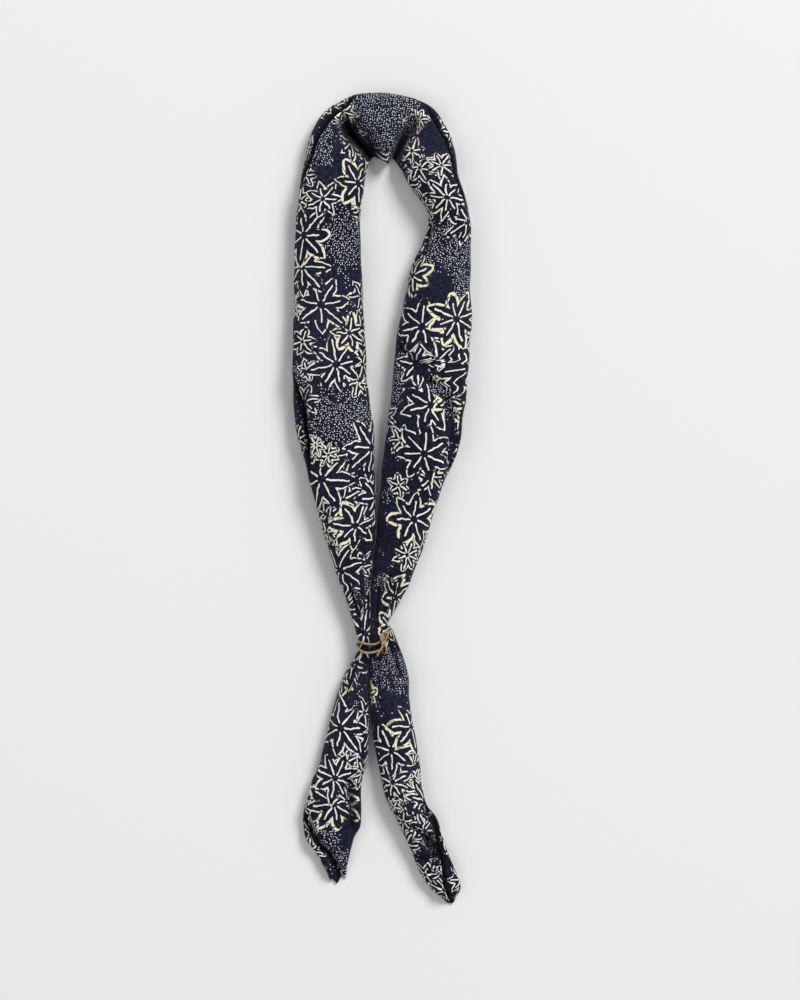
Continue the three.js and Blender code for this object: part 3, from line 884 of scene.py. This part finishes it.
# the valleys on either side of the closed end's middle panel
mitres = [
    [-4.5, 167.5, -21.0, 189.0],
    [5.5, 167.0, 15.5, 186.0],
]
printing = {
    "seed": 41,
    "fillStep": 19.0,  # millimetres between leaves where they don't show from above
    "tries": 12,  # for each step of the band
    "endMargin": 2,
    "fillRadius": (6.5, 12.5),
    "fillLobes": (6, 7, 7, 8),
    "keepAway": 0.72,  # of two leaves' radii together
    "crownKeepAway": 0.46,
    "overDots": 0.25,  # how much of a fill leaf's radius stays clear of the dots
    "overBare": 0.8,
    "thickShare": 0.12,
    "leafReach": 1.12,  # of its radius, how far a leaf is printed round the band
    "leafSpan": 2.2,  # and along it, measured down the middle
    "cloudEdge": (0.55, 1.45),  # of an oval's size, between which the dots thin out
    "bareEdge": (0.7, 1.15),
    "panelDots": (24, 160),  # the closed end's middle panel: half its width, and where it starts
    "panelClear": (18, 166),  # the same for the part that no fill leaf touches
    "hiddenDots": (30.0, 3.3),  # size and noise layer of the dot clouds out of sight
    "hiddenEdge": (0.05, 0.3),
}


def placeOn(x, y, first, last):  # the station and ring point, among these rings, nearest to a place in plan
    away = np.hypot(grid[:, first:last, 0] - x, grid[:, first:last, 1] - y)
    station, ring = np.unravel_index(np.argmin(away), away.shape)
    return station, ring + first


def fillLeaves(leaves):  # a loose repeat behind the charted leaves and over the sides and the underside
    dice = random.Random(printing["seed"])
    taken = [(band, grid[k, i], radius) for band, k, i, radius, *_ in leaves]
    margin, length = printing["endMargin"], bandLength[-1]
    for band, first, last in ((firstTurn, seamRing, overCount - 1), (tucked, stripStart, seamRing - 1)):
        for n in range(int(length / printing["fillStep"]) * printing["tries"]):
            along = dice.uniform(margin, length - margin)
            station = int(np.searchsorted(bandLength, along))
            ring = dice.randint(first, last)
            radius = round(dice.uniform(*printing["fillRadius"]), 1)
            turn, lobes = dice.uniform(0, 60), dice.choice(printing["fillLobes"])
            thick = int(dice.random() < printing["thickShare"])
            place = grid[station, ring]
            shows = band == firstTurn and ring > inward180 and sine[station, ring] > 0.05
            apart = printing["crownKeepAway" if shows else "keepAway"]
            clear = all(np.linalg.norm(place - p) > apart * (radius + r) for b, p, r in taken if b == band)
            if clear and not (shows and crowded(place[0], place[1], radius)):
                taken.append((band, place, radius))
                leaves.append((band, station, ring, radius, turn, lobes, thick))


def crowded(x, y, radius):  # whether a fill leaf would run into the dots or the bare cloth
    for table, share in ((cloudTable, printing["overDots"]), (bareTable, printing["overBare"])):
        for middleX, middleY, halfX, halfY in table:
            clear = share * radius
            if math.hypot((x - middleX) / (halfX + clear), (y - middleY) / (halfY + clear)) < 1:
                return True
    return abs(x) < printing["panelClear"][0] and y > printing["panelClear"][1]


def ovals(table, edge):  # 1 in the ovals and 0 away from them
    inside = np.zeros((stationCount, ringCount))
    for x, y, halfX, halfY in table:
        away = np.hypot((planX - x) / halfX, (planY - y) / halfY)
        inside = np.maximum(inside, 1 - smoothStep(away, *edge))
    return inside


shown = (sine > 0.1) & (ringNumber >= inward180) & (ringNumber < overCount + 3)
leftSide, rightSide = (nearLine(planX, planY, *line)[1] for line in mitres)
panel = smoothStep(leftSide, -0.4, 0.4) * smoothStep(-rightSide, -0.4, 0.4)
onPanel = (np.abs(planX) < printing["panelDots"][0]) & (planY > printing["panelDots"][1])
dots = np.where(onPanel, panel, ovals(cloudTable, printing["cloudEdge"]))
hiddenDots = softNoise(planX, clothZ * 2 + planY, *printing["hiddenDots"])
elsewhere = smoothStep(hiddenDots, *printing["hiddenEdge"])
dots = np.where(shown, dots, np.where(onStrip, 0.0, elsewhere))
bare = np.where(shown, ovals(bareTable, printing["bareEdge"]), 0)
dots *= 1 - bare

leaves = []
charts = (
    (leafTable, firstTurn, inward180 - 2, overCount),
    (stripLeafTable, tucked, stripStart, outward360 + 2),
)
for table, band, first, last in charts:
    for x, y, radius, points, lobes, thick in table:
        station, ring = placeOn(x, y, first, last)
        way = np.array([math.sin(math.radians(points)), math.cos(math.radians(points))])
        turn = math.degrees(math.atan2(way @ outward[station], way @ ahead[station]))
        leaves.append((band, station, ring, radius, turn % (360 / lobes), lobes, thick))
fillLeaves(leaves)
# each face corner holds its place on up to four leaves, with a code of their form
slots = ["leafFront", "leafSecond", "leafThird", "leafLast"]
thickCode, lobeCode = 1000, 100  # the code is these times thick and lobes, and the radius
noLeaf = (999.0, 999.0, 710.0)
printed = {name: np.tile(noLeaf, (len(faceBand), 4, 1)) for name in slots}
used = np.zeros(len(faceBand), int)
cornerLength = bandLength[cornerStation]
for band, station, ring, radius, turn, lobes, thick in leaves:
    offset = cornerPlan - grid[station, ring, :2]
    along = offset @ ahead[station]
    sideways = cornerAround - bandAround[band][station, ring]
    near = np.hypot(along, sideways).min(axis=1) < radius * printing["leafReach"]
    fromLeaf = np.abs(cornerLength.mean(axis=1) - bandLength[station])
    near &= (faceBand == band) & (fromLeaf < printing["leafSpan"] * radius)
    angle = math.radians(turn)
    code = thickCode * thick + lobeCode * lobes + radius
    local = np.stack([math.cos(angle) * along + math.sin(angle) * sideways,
                      math.cos(angle) * sideways - math.sin(angle) * along,
                      0 * along + code], axis=2)
    for n, name in enumerate(slots):
        chosen = near & (used == n)
        printed[name][chosen] = local[chosen]
    used += near
print("print laid out,", len(leaves), "leaves, most on one face:", used.max())

# the weave runs straight over each patch of the band, and the bands' weaves don't join
patchOf = (bandLength / cloth["patch"]).astype(int)
middles = (np.arange(patchOf.max() + 1) + 0.5) * cloth["patch"]
patchMiddle = np.array([np.argmin(np.abs(bandLength - middle)) for middle in middles])
facePatch = patchMiddle[patchOf[faceStation]]
weaveAlong = ((cornerPlan - centre[facePatch][:, None]) * ahead[facePatch][:, None]).sum(axis=2)
weaveAlong += bandLength[facePatch][:, None]
weave = np.stack([weaveAlong, cornerAround + cloth["bandShift"] * faceBand[:, None]], axis=2)

cotton = {
    "ground": (0.0045, 0.0049, 0.0130),
    "groundWorn": (0.0240, 0.0245, 0.0550),
    # the next colour is painted shade: the near-black ground deep in the folds and grooves
    "groundInShade": (0.0015, 0.0015, 0.003),
    "cream": (0.91, 0.90, 0.81),
    "pale": (0.95, 0.98, 1.00),
    "yellow": (0.86, 0.80, 0.54),
    "wander": (1.5, (260.0, 230.0)),  # millimetres of wander, and the noise's scales
    "fineWander": (0.26, (1500.0, 1300.0)),
    "stroke": 0.335,  # millimetres, half the width of a thin stroke
    "thickStroke": 0.40,  # half of what the outline of a thick leaf gains on its outer side
    "dotStep": 1.15,
    "dotRadius": 0.20,
    "threadStep": 0.34,
    "weaveHeight": 0.02,  # millimetres, like the next two
    "slubHeight": 0.05,
    "creaseHeight": 0.6,
    "roughness": 0.88,
}
# a leaf, in shares of its radius or of its lobe's length
leafForm = {
    "lobeLength": (0.86, 0.20),  # the least, and what chance adds to it
    "lobeWidth": (1.68, 0.24),
    "lean": 0.14,
    "lobesPart": 0.44,  # nearer the heart the outlines leave off
    "swellStart": 0.46,
    "veinStart": 0.15,
    "vein": (0.56, 0.22),  # where it ends
    "heart": 0.40,  # the middle, which covers what lies behind it
    "rim": 0.9,  # millimetres of bare ground round it, which cover that too
    "openTips": 0.45,  # share of the thin lobes that stay open at the tip
}


def leafPrint(dye, name, wobble, press, chip):
    # one printed leaf: where it is painted, how far it covers what is behind it, where its ink is thick
    spot = dye.add("ShaderNodeAttribute", {"attribute_name": name}, {}, 1)
    parts = [dye.add("ShaderNodeSeparateXYZ", {}, {"Vector": spot}, i) for i in range(3)]
    code = (parts[2] * 10).calc("ROUND") / 10
    thick = (code / thickCode).calc("FLOOR")
    lobes = ((code - thickCode * thick) / lobeCode).calc("FLOOR")
    radius = code - thickCode * thick - lobeCode * lobes
    x, y = (parts[0] + wobble[0]) / radius, (parts[1] + wobble[1]) / radius
    away = (x * x + y * y).calc("SQRT")
    turn = y.calc("ARCTAN2", x) / (2 * math.pi) * lobes
    lobe = turn.calc("ROUND")
    bend = (turn - lobe) * (2 * math.pi) / lobes
    chance = dye.add("ShaderNodeCombineXYZ", {}, {"X": lobe % lobes, "Y": code})
    chance = dye.add("ShaderNodeTexWhiteNoise", {"noise_dimensions": "2D"}, {"Vector": chance})
    otherChance = dye.add("ShaderNodeSeparateColor", {}, {"Color": chance.other(1)}, 2)
    least, more = leafForm["lobeLength"]
    length = least + more * chance
    out = away * bend.calc("COSINE") / length
    side = abs(away * bend.calc("SINE") / length - (otherChance - 0.5) * leafForm["lean"] * out * out)
    least, more = leafForm["lobeWidth"]
    lobeWidth = (math.pi / lobes).calc("TANGENT") * (least + more * otherChance)
    half = lobeWidth * out * (1 - out)
    scale = radius * length
    crisp, soft, sharp = 7, 5, 30  # how fast strokes, their ends and what a leaf covers set in
    stroke = cotton["stroke"] * (0.70 + 0.60 * press) * (0.80 + 0.016 * radius)
    swell = cotton["thickStroke"] * thick * dye.clamp(otherChance * 6 - 1.2)
    swell = swell * dye.clamp((out - leafForm["swellStart"]) * 4)
    line = dye.clamp((stroke + swell - abs((side - half) * scale - swell)) * crisp + 0.5)
    tip = 1.0 + 0.4 / scale - 0.10 * dye.clamp((chance - (1 - leafForm["openTips"])) * 20) * (1 - thick)
    ends = dye.clamp((out - leafForm["lobesPart"]) * scale * soft)
    ends = ends * dye.clamp((tip - out) * scale * soft + 0.5)
    broken = dye.clamp((chip - 0.030) * 60 + thick * 0.6)
    line = line * ends * broken
    least, more = leafForm["vein"]
    before, beyond = leafForm["veinStart"] - out, out - (least + more * chance)
    miss = before.calc("MAXIMUM", beyond).calc("MAXIMUM", 0.0)
    vein = dye.clamp((stroke - (miss * miss + side * side).calc("SQRT") * scale) * crisp + 0.5)
    within = dye.clamp((half + leafForm["rim"] / scale - side) * sharp) * dye.clamp((1.06 - out) * sharp)
    cover = within.calc("MAXIMUM", dye.clamp((leafForm["heart"] - away) * sharp))
    return line.calc("MAXIMUM", vein), cover.calc("MAXIMUM", line), line * thick


def wander(dye, lay, reach, scales):
    return [dye.noise(lay, scale, 1.0) * reach - reach / 2 for scale in scales]


def cottonMaterial():
    dye = Dye("printedCotton")
    lay = dye.add("ShaderNodeUVMap", {"uv_map": "clothLay"}, {})
    wobble, fine = (wander(dye, lay, *cotton[name]) for name in ("wander", "fineWander"))
    wobble = [a + b for a, b in zip(wobble, fine)]
    press = dye.noise(lay, 420.0, 2.0)
    chip = abs(dye.noise(lay, 150.0, 1.0) - 0.5)
    # one dot in each cell, where the cloud is thick enough
    cell = dye.add("ShaderNodeTexVoronoi", {"voronoi_dimensions": "2D"},
                   {"Vector": lay, "Scale": 1000 / cotton["dotStep"], "Randomness": 0.78})
    cloud = dye.add("ShaderNodeAttribute", {"attribute_name": "dotCloud"}, {}, 2)
    ragged = dye.noise(lay, 170.0, 3.0)
    speck = dye.add("ShaderNodeSeparateColor", {}, {"Color": cell.other(1)}, 0)
    cloudy = dye.clamp((cloud + (ragged - 0.5) * 1.0 + (speck - 0.5) * 1.1 - 0.5) * 12)
    dotSize = (cotton["dotRadius"] / cotton["dotStep"]) * (0.68 + 0.60 * speck)
    dot = dye.clamp((dotSize - cell) * 12 + 0.5) * cloudy

    # from the back leaf to the front one, each covering what lies behind it
    paint, swollen, leafy = dot, 0.0, 0.0
    for name in reversed(slots):
        painted, cover, thick = leafPrint(dye, name, wobble, press, chip)
        paint = painted.calc("MAXIMUM", paint * (1 - cover))
        swollen = thick.calc("MAXIMUM", swollen * (1 - cover))
        leafy = cover.calc("MAXIMUM", leafy)
    # painted shade: foldShade darkens the ground and fades the print deep in the folds, beside the lip and
    # between the limbs
    paintedShade = dye.add("ShaderNodeAttribute", {"attribute_name": "foldShade"}, {}, 2)
    unprinted = dye.add("ShaderNodeAttribute", {"attribute_name": "bareCloth"}, {}, 2)
    paint = paint * (1 - unprinted) * (1 - paintedShade)

    # worn ground darkened by painted shade in the folds, and ink that soaks in
    wide = dye.noise(lay, 26.0, 3.0)
    slub = dye.noise(lay, 700.0, 2.0)
    worn = dye.clamp(wide * 1.3 - 0.40 + (slub - 0.5) * 2.2)
    ground = dye.mix(worn, cotton["ground"], cotton["groundWorn"])
    ground = dye.mix(paintedShade, ground, cotton["groundInShade"])
    ink = dye.mix(dye.clamp(swollen * 0.70 + (wide - 0.5) * 1.2), cotton["cream"], cotton["yellow"])
    ink = dye.mix(leafy, cotton["pale"], ink)
    soaked = dye.clamp(paint * (0.80 + 0.30 * slub))
    colour = dye.mix(soaked, ground, ink)

    # plain weave on the bias, slubs and small creases
    parts = [dye.add("ShaderNodeSeparateXYZ", {}, {"Vector": lay}, i) for i in range(2)]
    thread = 2 * math.pi * 1000 / cotton["threadStep"] / math.sqrt(2)
    warp = ((parts[0] + parts[1]) * thread).calc("SINE")
    weft = ((parts[0] - parts[1]) * thread).calc("SINE")
    creased = dye.noise(lay, 95.0, 4.0)
    relief = warp * weft * (cotton["weaveHeight"] * mm)
    relief = relief + slub * (cotton["slubHeight"] * mm) + creased * (cotton["creaseHeight"] * mm)
    bump = dye.add("ShaderNodeBump", {}, {"Strength": 0.6, "Distance": 1.0, "Height": relief})
    return dye.finish({
        "Base Color": colour,
        "Roughness": cotton["roughness"] - 0.10 * soaked,
        "Specular IOR Level": 0.12,
        "Sheen Weight": 0.16,
        "Sheen Roughness": 0.45,
        "Sheen Tint": (0.70, 0.76, 1.0, 1.0),
        "Normal": bump,
    })


bandana = makeObject("foldedCloth", grid.reshape(-1, 3), clothFaces, cottonMaterial())
mesh = bandana.data
mesh.uv_layers.new(name="clothLay").data.foreach_set("uv", (weave * mm).ravel())
for name in slots:
    mesh.attributes.new(name, "FLOAT_VECTOR", "CORNER").data.foreach_set("vector", printed[name].ravel())
for name, values in (("dotCloud", dots), ("bareCloth", bare), ("foldShade", foldShade)):
    setPoints(bandana, name, values)
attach(bandana, "root")
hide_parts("bandana")
print("cloth made,", len(clothFaces), "faces")

# a plain pale floor and soft studio light, stronger from the upper right
studio = {
    "floorSize": 6.0,
    "floorZ": -0.1,  # millimetres, clear of the cloth
    "floor": (0.83, 0.83, 0.835),
    "key": (2.4, 3.3, 3.7),
    "keySize": 2.0,
    "keyPower": 242.0,
    "fill": (-2.4, -0.8, 3.4),
    "fillSize": 2.4,
    "fillPower": 24.0,
    "sky": 0.40,
}
floorPaint = {"Base Color": (*studio["floor"], 1), "Roughness": 0.9, "Specular IOR Level": 0.1}
edge = studio["floorSize"] / 2 / mm
corners = [(x, y, studio["floorZ"]) for x, y in ((-edge, -edge), (edge, -edge), (edge, edge), (-edge, edge))]
floor = makeObject("floor", corners, [(0, 1, 2, 3)], Dye("paleFloor").finish(floorPaint))


def addLight(name, place, size, power):
    lamp = bpy.data.lights.new(name, "AREA")
    lamp.size = size
    lamp.energy = power
    light = bpy.data.objects.new(name, lamp)
    light.location = place
    light.rotation_euler = (-Vector(place)).to_track_quat("-Z", "Y").to_euler()
    bpy.context.collection.objects.link(light)


addLight("keyLight", studio["key"], studio["keySize"], studio["keyPower"])
addLight("fillLight", studio["fill"], studio["fillSize"], studio["fillPower"])
world = bpy.data.worlds.new("studioAir")
world.use_nodes = True
world.node_tree.nodes["Background"].inputs["Color"].default_value = (1, 1, 1, 1)
world.node_tree.nodes["Background"].inputs["Strength"].default_value = studio["sky"]
bpy.context.scene.world = world
print("studio set")
